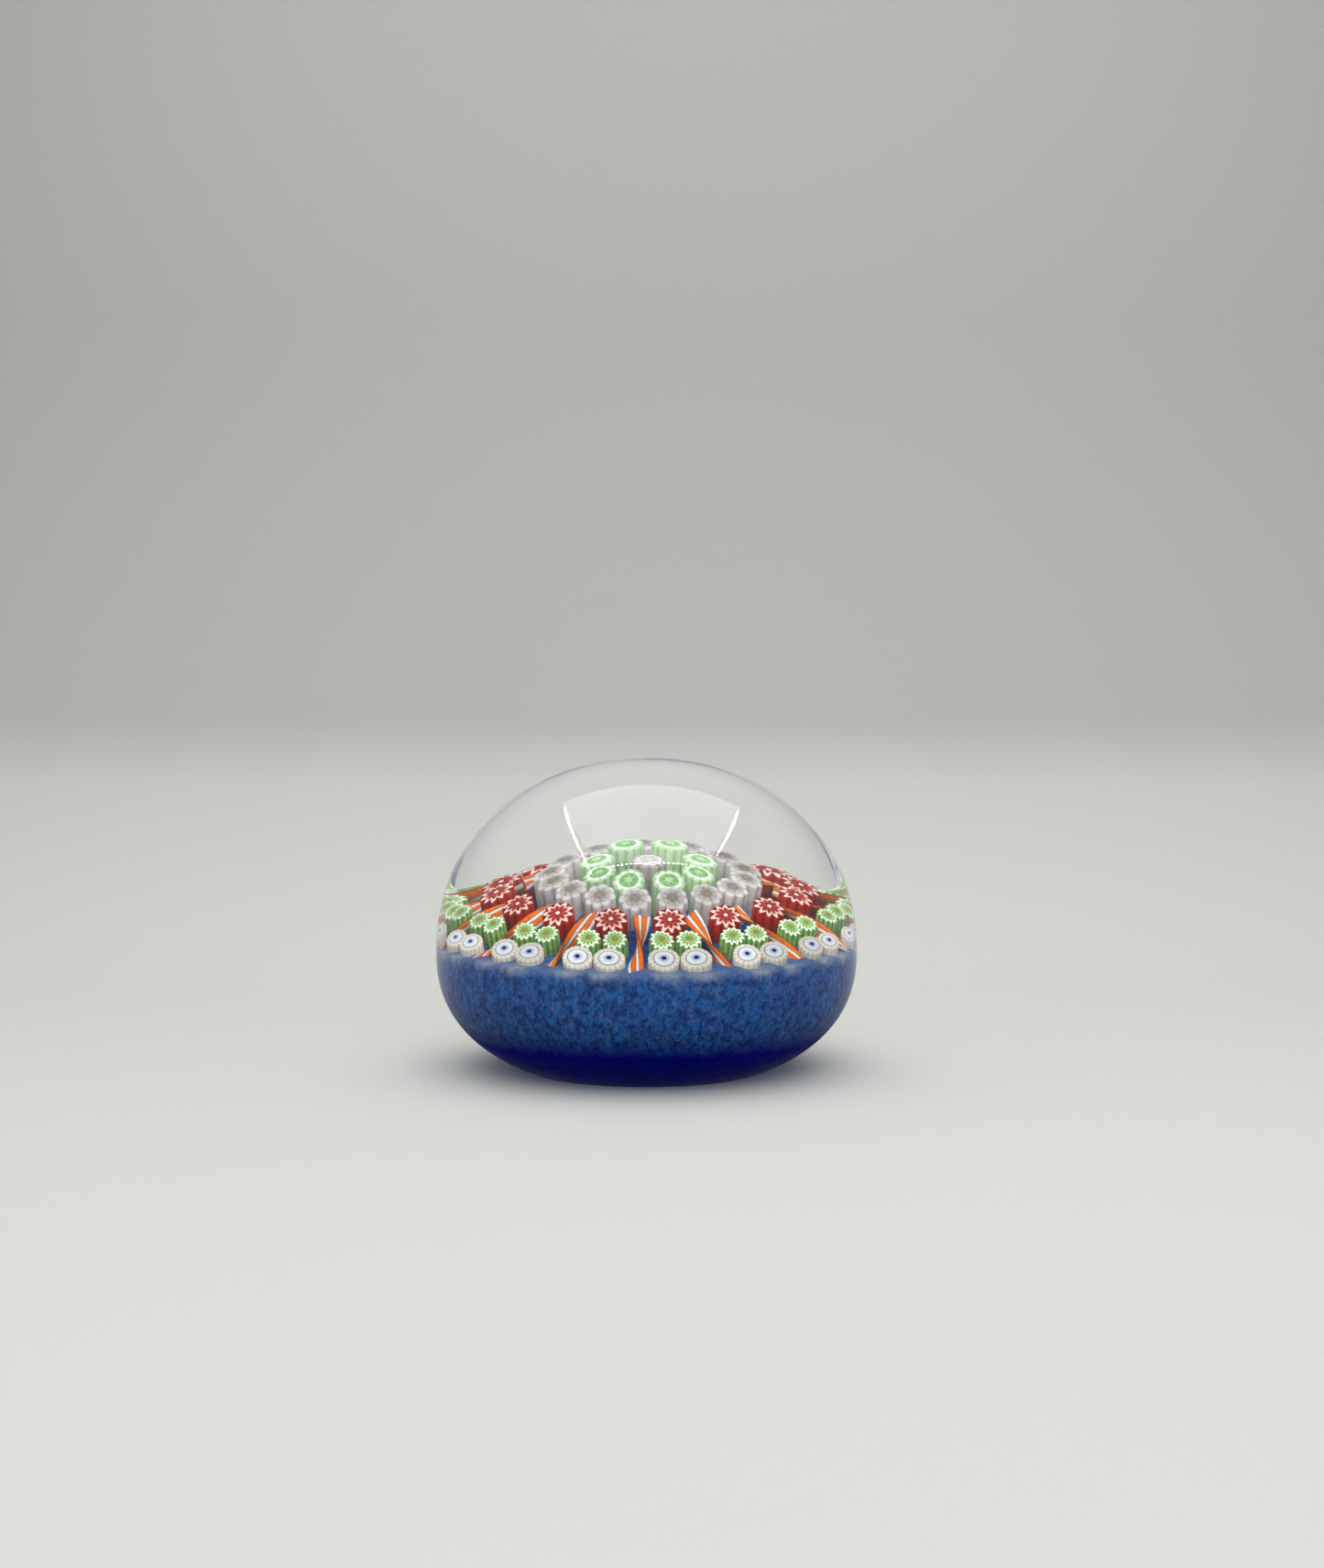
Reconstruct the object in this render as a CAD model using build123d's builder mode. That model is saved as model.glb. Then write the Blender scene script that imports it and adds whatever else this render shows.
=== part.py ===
from build123d import *

import os
from math import cos, radians, sin

# Paperweight of clear glass over a spoke pattern of patterned canes, set in a bed of blue glass.
# Millimetres, +Z up, origin at the centre of the flat foot. Azimuths are in degrees, counted
# from the front (-Y) towards the right (+X).

# Outer shape: a superellipse crown over a superellipse belly, ground flat at the foot
RADIUS = 35.0
EQUATOR_HEIGHT = 20.1
CROWN_RISE = 31.7
CROWN_POWER = 2.088
BELLY_POWER = 2.324
FOOT_RADIUS = 19.5
CURVE_POINTS = 9
UPRIGHT = (0, 1)
LEVEL = (-1, 0)

# Inside of the clear casing: a thin skin at the foot that thickens up to the rim of the bed
SKIN = 0.7
RIM_WALL = 3.6
BED_RIM_HEIGHT = 19.2
BED_CENTRE_HEIGHT = 24.4

# Base gather and the polished hollow in its foot
GATHER_RIM_HEIGHT = 3.6
GATHER_CENTRE_HEIGHT = 5.2
HOLLOW_RADIUS = 9.0
HOLLOW_DEPTH = 0.9

# The cane tops lie on a shallow cap: a blunt cone that steepens outward, a little off centre.
# It is uneven: the back rises inside a level radius and sags outside it, and the sides rise.
CAP_HEIGHT = 29.0
CAP_SLOPE = 0.13
CAP_CURVE = 0.006
BACK_RISE = 1.4
BACK_LEVEL_RADIUS = 18.0
BACK_SAG = 1.0
SIDE_RISE = 1.2
SETUP_SHIFT = (0.2, 1.4)
CANE_LENGTH = 7.0

# Panels between the spokes
PANELS = 14
PANEL_STEP = 360 / PANELS
FIRST_PANEL = 9.4

# Eye canes, two at the outer end of each panel
EYE_RING = 27.1
EYE_SPREAD = 2.27
EYE_TILT = 13.0
EYE_RADIUS = 2.2
EYE_RING_RADIUS = 1.58
EYE_FIELD_RADIUS = 1.34
EYE_HALO_RADIUS = 0.77
EYE_PUPIL_RADIUS = 0.44

# Green cog canes, two in the middle of each panel
GREEN_RING = 22.2
GREEN_SPREAD = 1.83
GREEN_TILT = 17.0
GREEN_TEETH = 12
GREEN_RADIUS = 1.75
GREEN_STAR = (1.68, 1.08)
GREEN_HEART_RADIUS = 0.9
GREEN_PIP_RADIUS = 0.36

# Red star canes, one at the inner end of each panel
RED_RING = 17.1
RED_TILT = 16.0
RED_POINTS = 10
RED_RADIUS = 2.1
RED_STAR = (1.95, 1.45)
RED_HEART_RADIUS = 1.25
RED_PIP_RADIUS = 0.34

# Lavender canes, a ring of their own inside the panels
LAVENDER_CANES = 15
LAVENDER_RING = 11.1
LAVENDER_FIRST = -8.5
LAVENDER_TILT = 11.0
LAVENDER_POINTS = 8
LAVENDER_RADIUS = 1.95
LAVENDER_STAR = (1.36, 0.94)
LAVENDER_HEART_RADIUS = 0.66

# Pale green canes round the hub, and the hub cane itself
CENTRE_CANES = 8
CENTRE_RING = 6.2
CENTRE_FIRST = -22.0
CENTRE_TILT = 8.0
CENTRE_LOBES = 12
CENTRE_RADIUS = 1.92
CENTRE_WHITE = (1.56, 1.42)
CENTRE_FIELD_RADIUS = 1.12
CENTRE_PIP_RADIUS = 0.46
HUB_RADIUS = 2.10
HUB_LOBES = 10
HUB_WHITE = (1.55, 1.36)
HUB_HEART_RADIUS = 0.95

# Twisted rods, one along each spoke, sloping down into the bed
ROD_FIRST = FIRST_PANEL - PANEL_STEP / 2
ROD_INNER_END = 13.8
ROD_OUTER_END = 29.8
ROD_LENGTH = 18.0
ROD_DEPTH = 1.2
ROD_RADIUS = 1.15
RIBBON_STRIPES = 4
RIBBON_WIDTH = 2.0
RIBBON_THICKNESS = 0.42
RIBBON_TWIST = 215.0
RIBBON_SECTIONS = 7
RIBBON_PHASE_STEP = 67.0

# Unevenness of hand-set canes
PLACE_PLAY = 0.04
TILT_PLAY = 1.2
SPIN_PLAY = 180.0
PLAY_RATE = 2.4


def play(index, phase):
    """Repeatable unevenness between -1 and 1."""
    return sin(PLAY_RATE * index * index + phase)


def cap_height(place):
    """Height of the cane tops at a place, measured from the centre of the set-up."""
    radius = place.length
    back = max(place.Y, 0.0) / max(radius, 1.0)
    side = (place.X / max(radius, 1.0)) ** 2 * max(1 - 2 * back, 0.0)
    level = CAP_HEIGHT - CAP_SLOPE * radius - CAP_CURVE * radius**2
    back_rise = max(BACK_RISE * (1 - (radius / BACK_LEVEL_RADIUS) ** 3), -BACK_SAG)
    return level + back * back_rise + side * SIDE_RISE * radius / EYE_RING


SETUP_CENTRE = Vector(*SETUP_SHIFT, 0)


def outward(azimuth):
    """Unit vector that points away from the axis at an azimuth."""
    return Vector(sin(radians(azimuth)), -cos(radians(azimuth)), 0)


def sideways(azimuth):
    """Unit vector that points along the ring at an azimuth."""
    return Vector(cos(radians(azimuth)), sin(radians(azimuth)), 0)


def cap_point(place, depth=0.0):
    """Point of the cap over a place, or at a depth below it."""
    return place + SETUP_CENTRE + Vector(0, 0, cap_height(place) - depth)


def cane_plane(index, radius, azimuth, tilt, offset=0.0):
    """Plane of a cane's top face, which leans outward, beside the line at that azimuth."""
    reach = radius + PLACE_PLAY * play(index, 0)
    place = outward(azimuth) * reach + sideways(azimuth) * offset
    top = cap_point(place)
    lean = radians(tilt + TILT_PLAY * play(index, 1))
    axis = outward(azimuth) * sin(lean) + Vector(0, 0, cos(lean))
    return Plane(top, x_dir=sideways(azimuth + SPIN_PLAY * play(index, 2)), z_dir=axis)


def ring_planes(count, radius, first, tilt):
    """Top planes of a full ring of canes."""
    step = 360 / count
    return [cane_plane(index, radius, first + index * step, tilt) for index in range(count)]


def pair_planes(radius, spread, tilt):
    """Top planes of two parallel canes in every panel."""
    planes = []
    for panel in range(PANELS):
        azimuth = FIRST_PANEL + panel * PANEL_STEP
        planes.append(cane_plane(2 * panel, radius, azimuth, tilt, -spread))
        planes.append(cane_plane(2 * panel + 1, radius, azimuth, tilt, spread))
    return planes


def rod_location(index):
    """Inner end of a twisted rod, with +Z along the rod and the ribbon's own starting turn."""
    azimuth = ROD_FIRST + index * PANEL_STEP
    start = cap_point(outward(azimuth) * ROD_INNER_END, ROD_DEPTH)
    end = cap_point(outward(azimuth) * ROD_OUTER_END, ROD_DEPTH)
    plane = Plane(start, x_dir=sideways(azimuth), z_dir=end - start)
    return plane.location * Rotation(0, 0, index * RIBBON_PHASE_STEP)


def belly_radius(height):
    """Radius of the outside at a height below the equator."""
    foot_share = 1 - (FOOT_RADIUS / RADIUS) ** BELLY_POWER
    depth = EQUATOR_HEIGHT / foot_share ** (1 / BELLY_POWER)
    drop = max(EQUATOR_HEIGHT - height, 0.0) / depth
    return RADIUS * (1 - drop**BELLY_POWER) ** (1 / BELLY_POWER)


def ground_radius(height):
    """Radius of the blue glass at a height below the rim of the bed."""
    wall = SKIN + (RIM_WALL - SKIN) * (height / BED_RIM_HEIGHT) ** 2
    return belly_radius(height) - wall


def crown_points():
    """Points of the crown, from the equator to the apex."""
    turns = [90 * step / (CURVE_POINTS - 1) for step in range(CURVE_POINTS)]
    power = 2 / CROWN_POWER
    radii = [RADIUS * max(cos(radians(turn)), 0.0) ** power for turn in turns[:-1]] + [0.0]
    heights = [EQUATOR_HEIGHT + CROWN_RISE * sin(radians(turn)) ** power for turn in turns]
    return list(zip(radii, heights))


def rising_points(radius_at, top):
    """Points of an outline from the foot up to a height, with its radius as a function."""
    heights = [top * step / (CURVE_POINTS - 1) for step in range(CURVE_POINTS)]
    return [(radius_at(height), height) for height in heights]


def round_outline(radius):
    """Disc."""
    with BuildSketch() as outline:
        Circle(radius)
    return outline.sketch


def star_outline(points, tip, valley):
    """Star with straight flanks."""
    step = 180 / points
    corners = []
    for corner in range(2 * points):
        reach = valley if corner % 2 else tip
        corners.append(outward(corner * step) * reach)
    with BuildSketch() as outline:
        with BuildLine():
            Polyline(*corners, close=True)
        make_face()
    return outline.sketch


def lobed_outline(lobes, crest, valley):
    """Ring of round lobes that meet in sharp valleys."""
    step = 360 / lobes
    with BuildSketch() as outline:
        with BuildLine():
            for lobe in range(lobes):
                start = outward(lobe * step) * valley
                middle = outward((lobe + 0.5) * step) * crest
                end = outward((lobe + 1) * step) * valley
                ThreePointArc(start, middle, end)
        make_face()
    return outline.sketch


def cane_layer(planes, outer, inner=None):
    """One coloured layer of a kind of cane, as a group of equal prisms below their planes."""
    with BuildPart() as layer:
        with BuildSketch(*planes):
            add(outer)
            if inner is not None:
                add(inner, mode=Mode.SUBTRACT)
        extrude(amount=-CANE_LENGTH)
    return layer.part


def ribbon_stripe(first, last):
    """Twisted prism of the ribbon between two stripe edges, along +Z from the origin."""
    stripe = RIBBON_WIDTH / RIBBON_STRIPES
    width = (last - first) * stripe
    centre = (first + last) / 2 * stripe - RIBBON_WIDTH / 2
    with BuildPart() as band:
        for section in range(RIBBON_SECTIONS):
            share = section / (RIBBON_SECTIONS - 1)
            plane = Plane.XY.offset(share * ROD_LENGTH).rotated((0, 0, share * RIBBON_TWIST))
            with BuildSketch(plane):
                with Locations((centre, 0)):
                    Rectangle(width, RIBBON_THICKNESS)
        loft()
    return band.part


eye_planes = pair_planes(EYE_RING, EYE_SPREAD, EYE_TILT)
green_planes = pair_planes(GREEN_RING, GREEN_SPREAD, GREEN_TILT)
red_planes = ring_planes(PANELS, RED_RING, FIRST_PANEL, RED_TILT)
lavender_planes = ring_planes(LAVENDER_CANES, LAVENDER_RING, LAVENDER_FIRST, LAVENDER_TILT)
centre_planes = ring_planes(CENTRE_CANES, CENTRE_RING, CENTRE_FIRST, CENTRE_TILT)
hub_planes = [Plane(cap_point(Vector(0, 0, 0)))]
rod_locations = [rod_location(index) for index in range(PANELS)]

eye_outer = round_outline(EYE_RADIUS)
eye_ring = round_outline(EYE_RING_RADIUS)
eye_field = round_outline(EYE_FIELD_RADIUS)
eye_halo = round_outline(EYE_HALO_RADIUS)
eye_pupil = round_outline(EYE_PUPIL_RADIUS)

green_outer = round_outline(GREEN_RADIUS)
green_star = star_outline(GREEN_TEETH, *GREEN_STAR)
green_heart = round_outline(GREEN_HEART_RADIUS)
green_pip = round_outline(GREEN_PIP_RADIUS)

red_outer = round_outline(RED_RADIUS)
red_star = star_outline(RED_POINTS, *RED_STAR)
red_heart = round_outline(RED_HEART_RADIUS)
red_pip = round_outline(RED_PIP_RADIUS)

lavender_outer = round_outline(LAVENDER_RADIUS)
lavender_star = star_outline(LAVENDER_POINTS, *LAVENDER_STAR)
lavender_heart = round_outline(LAVENDER_HEART_RADIUS)

centre_outer = round_outline(CENTRE_RADIUS)
centre_white = lobed_outline(CENTRE_LOBES, *CENTRE_WHITE)
centre_field = round_outline(CENTRE_FIELD_RADIUS)
centre_pip = round_outline(CENTRE_PIP_RADIUS)

hub_outer = round_outline(HUB_RADIUS)
hub_white = lobed_outline(HUB_LOBES, *HUB_WHITE)
hub_heart_disc = round_outline(HUB_HEART_RADIUS)

os.makedirs("parts", exist_ok=True)

# The space that all canes and rods take up in the casing and in the bed
with BuildPart() as setup_space:
    add(cane_layer(eye_planes, eye_outer))
    add(cane_layer(green_planes, green_outer))
    add(cane_layer(red_planes, red_outer))
    add(cane_layer(lavender_planes, lavender_outer))
    add(cane_layer(centre_planes, centre_outer))
    add(cane_layer(hub_planes, hub_outer))
    with Locations(*rod_locations):
        Cylinder(ROD_RADIUS, ROD_LENGTH, align=(Align.CENTER, Align.CENTER, Align.MIN))

# The space inside the skin, from the foot up to the bed
with BuildPart() as blue_space:
    with BuildSketch(Plane.XZ):
        with BuildLine():
            skin = Spline(*rising_points(ground_radius, BED_RIM_HEIGHT))
            bed = Spline(skin @ 1, (0, BED_CENTRE_HEIGHT), tangents=(LEVEL, LEVEL))
            Polyline(bed @ 1, (0, 0), skin @ 0)
        make_face()
    revolve(axis=Axis.Z)

# The space under the domed seam between the base gather and the bed
with BuildPart() as gather_space:
    with BuildSketch(Plane.XZ):
        with BuildLine():
            rim_left = (-RADIUS, GATHER_RIM_HEIGHT)
            rim_right = (RADIUS, GATHER_RIM_HEIGHT)
            seam = ThreePointArc(rim_left, (0, GATHER_CENTRE_HEIGHT), rim_right)
            Polyline(seam @ 1, (RADIUS, -SKIN), (-RADIUS, -SKIN), seam @ 0)
        make_face()
        split(bisect_by=Plane.YZ, keep=Keep.TOP)
    revolve(axis=Axis.Z)

# Clear casing: the dome over the set-up and the skin that covers the blue down to the foot
with BuildPart() as clear_casing:
    with BuildSketch(Plane.XZ):
        with BuildLine():
            crown = Spline(*crown_points(), tangents=(UPRIGHT, LEVEL))
            belly = Spline(*rising_points(belly_radius, EQUATOR_HEIGHT))
            Polyline(crown @ 1, (0, 0), belly @ 0)
        make_face()
    revolve(axis=Axis.Z)
    add(blue_space.part, mode=Mode.SUBTRACT)
    add(setup_space.part, mode=Mode.SUBTRACT)
clear_casing.part.label = "clear_casing"
export_step(clear_casing.part, "parts/clear_casing.step")

# Blue ground: the bed that grips the feet of the canes
with BuildPart() as blue_ground:
    add(blue_space.part)
    add(gather_space.part, mode=Mode.SUBTRACT)
    add(setup_space.part, mode=Mode.SUBTRACT)
blue_ground.part.label = "blue_ground"
export_step(blue_ground.part, "parts/blue_ground.step")

# Base gather: the deep blue foot, ground flat, with a polished hollow where the rod broke off
with BuildPart() as base_gather:
    add(blue_space.part)
    add(gather_space.part, mode=Mode.INTERSECT)
    with BuildSketch(Plane.XZ):
        with BuildLine():
            hollow = TangentArc((0, HOLLOW_DEPTH), (HOLLOW_RADIUS, 0), tangent=(1, 0))
            Polyline(hollow @ 1, (HOLLOW_RADIUS, -SKIN), (0, -SKIN), hollow @ 0)
        make_face()
    revolve(axis=Axis.Z, mode=Mode.SUBTRACT)
base_gather.part.label = "base_gather"
export_step(base_gather.part, "parts/base_gather.step")

# Eye canes: cream jacket, dark ring, white field, pale halo and navy pupil
with BuildPart() as eye_jackets:
    with BuildSketch(*eye_planes):
        add(eye_outer)
        add(eye_ring, mode=Mode.SUBTRACT)
    extrude(amount=-CANE_LENGTH)
eye_jackets.part.label = "eye_jackets"
export_step(eye_jackets.part, "parts/eye_jackets.step")

with BuildPart() as eye_rings:
    with BuildSketch(*eye_planes):
        add(eye_ring)
        add(eye_field, mode=Mode.SUBTRACT)
    extrude(amount=-CANE_LENGTH)
eye_rings.part.label = "eye_rings"
export_step(eye_rings.part, "parts/eye_rings.step")

with BuildPart() as eye_fields:
    with BuildSketch(*eye_planes):
        add(eye_field)
        add(eye_halo, mode=Mode.SUBTRACT)
    extrude(amount=-CANE_LENGTH)
eye_fields.part.label = "eye_fields"
export_step(eye_fields.part, "parts/eye_fields.step")

with BuildPart() as eye_halos:
    with BuildSketch(*eye_planes):
        add(eye_halo)
        add(eye_pupil, mode=Mode.SUBTRACT)
    extrude(amount=-CANE_LENGTH)
eye_halos.part.label = "eye_halos"
export_step(eye_halos.part, "parts/eye_halos.step")

with BuildPart() as eye_pupils:
    with BuildSketch(*eye_planes):
        add(eye_pupil)
    extrude(amount=-CANE_LENGTH)
eye_pupils.part.label = "eye_pupils"
export_step(eye_pupils.part, "parts/eye_pupils.step")

# Green cog canes: green jacket, white star, green heart and olive pip
with BuildPart() as green_jackets:
    with BuildSketch(*green_planes):
        add(green_outer)
        add(green_star, mode=Mode.SUBTRACT)
    extrude(amount=-CANE_LENGTH)
green_jackets.part.label = "green_jackets"
export_step(green_jackets.part, "parts/green_jackets.step")

with BuildPart() as green_stars:
    with BuildSketch(*green_planes):
        add(green_star)
        add(green_heart, mode=Mode.SUBTRACT)
    extrude(amount=-CANE_LENGTH)
green_stars.part.label = "green_stars"
export_step(green_stars.part, "parts/green_stars.step")

with BuildPart() as green_hearts:
    with BuildSketch(*green_planes):
        add(green_heart)
        add(green_pip, mode=Mode.SUBTRACT)
    extrude(amount=-CANE_LENGTH)
green_hearts.part.label = "green_hearts"
export_step(green_hearts.part, "parts/green_hearts.step")

with BuildPart() as green_pips:
    with BuildSketch(*green_planes):
        add(green_pip)
    extrude(amount=-CANE_LENGTH)
green_pips.part.label = "green_pips"
export_step(green_pips.part, "parts/green_pips.step")

# Red star canes: red jacket, pink star, dark red heart and pink pip
with BuildPart() as red_jackets:
    with BuildSketch(*red_planes):
        add(red_outer)
        add(red_star, mode=Mode.SUBTRACT)
    extrude(amount=-CANE_LENGTH)
red_jackets.part.label = "red_jackets"
export_step(red_jackets.part, "parts/red_jackets.step")

with BuildPart() as red_stars:
    with BuildSketch(*red_planes):
        add(red_star)
        add(red_heart, mode=Mode.SUBTRACT)
    extrude(amount=-CANE_LENGTH)
red_stars.part.label = "red_stars"
export_step(red_stars.part, "parts/red_stars.step")

with BuildPart() as red_hearts:
    with BuildSketch(*red_planes):
        add(red_heart)
        add(red_pip, mode=Mode.SUBTRACT)
    extrude(amount=-CANE_LENGTH)
red_hearts.part.label = "red_hearts"
export_step(red_hearts.part, "parts/red_hearts.step")

with BuildPart() as red_pips:
    with BuildSketch(*red_planes):
        add(red_pip)
    extrude(amount=-CANE_LENGTH)
red_pips.part.label = "red_pips"
export_step(red_pips.part, "parts/red_pips.step")

# Lavender canes: round jacket, small star and dark heart
with BuildPart() as lavender_jackets:
    with BuildSketch(*lavender_planes):
        add(lavender_outer)
        add(lavender_star, mode=Mode.SUBTRACT)
    extrude(amount=-CANE_LENGTH)
lavender_jackets.part.label = "lavender_jackets"
export_step(lavender_jackets.part, "parts/lavender_jackets.step")

with BuildPart() as lavender_stars:
    with BuildSketch(*lavender_planes):
        add(lavender_star)
        add(lavender_heart, mode=Mode.SUBTRACT)
    extrude(amount=-CANE_LENGTH)
lavender_stars.part.label = "lavender_stars"
export_step(lavender_stars.part, "parts/lavender_stars.step")

with BuildPart() as lavender_hearts:
    with BuildSketch(*lavender_planes):
        add(lavender_heart)
    extrude(amount=-CANE_LENGTH)
lavender_hearts.part.label = "lavender_hearts"
export_step(lavender_hearts.part, "parts/lavender_hearts.step")

# Centre canes: pale green jacket, scalloped white ring, green field and pale pip
with BuildPart() as centre_jackets:
    with BuildSketch(*centre_planes):
        add(centre_outer)
        add(centre_white, mode=Mode.SUBTRACT)
    extrude(amount=-CANE_LENGTH)
centre_jackets.part.label = "centre_jackets"
export_step(centre_jackets.part, "parts/centre_jackets.step")

with BuildPart() as centre_rings:
    with BuildSketch(*centre_planes):
        add(centre_white)
        add(centre_field, mode=Mode.SUBTRACT)
    extrude(amount=-CANE_LENGTH)
centre_rings.part.label = "centre_rings"
export_step(centre_rings.part, "parts/centre_rings.step")

with BuildPart() as centre_fields:
    with BuildSketch(*centre_planes):
        add(centre_field)
        add(centre_pip, mode=Mode.SUBTRACT)
    extrude(amount=-CANE_LENGTH)
centre_fields.part.label = "centre_fields"
export_step(centre_fields.part, "parts/centre_fields.step")

with BuildPart() as centre_pips:
    with BuildSketch(*centre_planes):
        add(centre_pip)
    extrude(amount=-CANE_LENGTH)
centre_pips.part.label = "centre_pips"
export_step(centre_pips.part, "parts/centre_pips.step")

# Hub cane: pale jacket, scalloped white ring and grey heart
with BuildPart() as hub_jacket:
    with BuildSketch(*hub_planes):
        add(hub_outer)
        add(hub_white, mode=Mode.SUBTRACT)
    extrude(amount=-CANE_LENGTH)
hub_jacket.part.label = "hub_jacket"
export_step(hub_jacket.part, "parts/hub_jacket.step")

with BuildPart() as hub_ring:
    with BuildSketch(*hub_planes):
        add(hub_white)
        add(hub_heart_disc, mode=Mode.SUBTRACT)
    extrude(amount=-CANE_LENGTH)
hub_ring.part.label = "hub_ring"
export_step(hub_ring.part, "parts/hub_ring.step")

with BuildPart() as hub_heart:
    with BuildSketch(*hub_planes):
        add(hub_heart_disc)
    extrude(amount=-CANE_LENGTH)
hub_heart.part.label = "hub_heart"
export_step(hub_heart.part, "parts/hub_heart.step")

# Twisted rods: a flat ribbon of white and orange stripes that turns inside a clear sleeve
orange_stripes = [ribbon_stripe(1, 2), ribbon_stripe(3, 4)]
white_stripes = [ribbon_stripe(0, 1), ribbon_stripe(2, 3)]

with BuildPart() as twist_sleeves:
    with Locations(*rod_locations):
        Cylinder(ROD_RADIUS, ROD_LENGTH, align=(Align.CENTER, Align.CENTER, Align.MIN))
        add(orange_stripes + white_stripes, mode=Mode.SUBTRACT)
twist_sleeves.part.label = "twist_sleeves"
export_step(twist_sleeves.part, "parts/twist_sleeves.step")

with BuildPart() as orange_ribbons:
    with Locations(*rod_locations):
        add(orange_stripes)
orange_ribbons.part.label = "orange_ribbons"
export_step(orange_ribbons.part, "parts/orange_ribbons.step")

with BuildPart() as white_ribbons:
    with Locations(*rod_locations):
        add(white_stripes)
white_ribbons.part.label = "white_ribbons"
export_step(white_ribbons.part, "parts/white_ribbons.step")
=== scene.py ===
import math
import random

import bmesh
import bpy
import numpy as np
from mathutils import Matrix, Vector, noise


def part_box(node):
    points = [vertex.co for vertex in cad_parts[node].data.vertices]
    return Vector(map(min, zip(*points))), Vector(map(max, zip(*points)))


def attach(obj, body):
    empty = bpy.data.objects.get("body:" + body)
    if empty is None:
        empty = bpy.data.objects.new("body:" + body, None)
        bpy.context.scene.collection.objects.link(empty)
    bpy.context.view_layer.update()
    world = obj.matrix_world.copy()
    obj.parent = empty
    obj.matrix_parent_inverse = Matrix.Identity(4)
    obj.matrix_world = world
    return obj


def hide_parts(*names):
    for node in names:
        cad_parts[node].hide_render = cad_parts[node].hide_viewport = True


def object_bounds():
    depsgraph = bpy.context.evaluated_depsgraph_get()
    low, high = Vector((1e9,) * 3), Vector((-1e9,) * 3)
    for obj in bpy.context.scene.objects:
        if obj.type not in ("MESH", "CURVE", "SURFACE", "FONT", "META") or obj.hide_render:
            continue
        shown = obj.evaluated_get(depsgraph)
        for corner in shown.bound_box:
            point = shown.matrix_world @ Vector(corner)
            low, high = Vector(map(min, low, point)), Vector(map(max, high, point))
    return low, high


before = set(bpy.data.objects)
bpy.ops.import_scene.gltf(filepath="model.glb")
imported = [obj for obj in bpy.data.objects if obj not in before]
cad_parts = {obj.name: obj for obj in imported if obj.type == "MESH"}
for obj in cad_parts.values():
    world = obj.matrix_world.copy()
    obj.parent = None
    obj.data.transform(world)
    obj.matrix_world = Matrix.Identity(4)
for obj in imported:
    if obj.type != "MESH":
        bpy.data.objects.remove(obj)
cad_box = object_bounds()

MM = 0.001
RANDOM = random.Random(11)

# The outside follows the same superellipse rule as the CAD outline
EQUATOR_SHARE = 0.38803
FOOT_SHARE = 0.5571
CROWN_POWER = 2.088
BELLY_POWER = 2.324
FOOT_BEVEL = 0.3 * MM
HOLLOW_RADIUS = 9.0 * MM
HOLLOW_DEPTH = 0.9 * MM

# The clear wall over the blue is SKIN thick at the foot and WALL thick at the rim of the bed
SKIN = 0.7 * MM
WALL = 3.6 * MM
RIM_HEIGHT = 19.2 * MM
BED_CENTRE_HEIGHT = 24.4 * MM
SEAM_HEIGHT = 4.2 * MM
SEAM_CENTRE_HEIGHT = 5.2 * MM


# ---------------------------------------------------------------- reading the frame

def loose_parts(node):
    """Point arrays of the separate solids of a CAD node."""
    bm = bmesh.new()
    bm.from_mesh(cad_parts[node].data)
    bmesh.ops.remove_doubles(bm, verts=bm.verts, dist=1e-7)
    seen = set()
    parts = []
    for first in bm.verts:
        if first in seen:
            continue
        seen.add(first)
        stack = [first]
        points = []
        while stack:
            vert = stack.pop()
            points.append(vert.co[:])
            for edge in vert.link_edges:
                other = edge.other_vert(vert)
                if other not in seen:
                    seen.add(other)
                    stack.append(other)
        parts.append(np.array(points))
    bm.free()
    return parts


def rod_place(points):
    """Upper end, axis (pointing up), length and radius of a straight rod."""
    middle = points.mean(0)
    values, vectors = np.linalg.eigh(np.cov((points - middle).T))
    axis = vectors[:, np.argmax(values)]
    axis = axis * (1 if axis[2] > 0 else -1)
    along = (points - middle) @ axis
    length = along.max() - along.min()
    top = points[along > along.max() - 0.02 * length].mean(0)
    reach = np.linalg.norm(points - middle - np.outer(along, axis), axis=1).max()
    return Vector(top), Vector(axis), float(length), float(reach)


def place_matrix(top, axis, spin):
    """Frame with its origin on a cane's top and +Z out of it, turned by spin."""
    turn = axis.to_track_quat("Z", "Y").to_matrix().to_4x4()
    return Matrix.Translation(top) @ turn @ Matrix.Rotation(spin, 4, "Z")


# ---------------------------------------------------------------- meshes

def face_outward(mesh):
    """Turns every face of a closed mesh outward."""
    bm = bmesh.new()
    bm.from_mesh(mesh)
    bmesh.ops.recalc_face_normals(bm, faces=bm.faces)
    bm.to_mesh(mesh)
    bm.free()


def new_object(name, verts, faces, material, attributes=None, smooth=True, closed=True):
    mesh = bpy.data.meshes.new(name)
    mesh.from_pydata([tuple(v) for v in verts], [], faces)
    if closed:
        face_outward(mesh)
    if smooth:
        mesh.shade_smooth()
    for key, values in (attributes or {}).items():
        layer = mesh.attributes.new(key, "FLOAT", "POINT")
        layer.data.foreach_set("value", values)
    obj = bpy.data.objects.new(name, mesh)
    bpy.context.scene.collection.objects.link(obj)
    if material:
        mesh.materials.append(material)
    return obj


def piece(obj, slot, *nodes):
    """Ties a finished object to the frame, in place of the CAD nodes it stands for."""
    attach(obj, "root")
    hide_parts(*nodes)
    return obj


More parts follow.
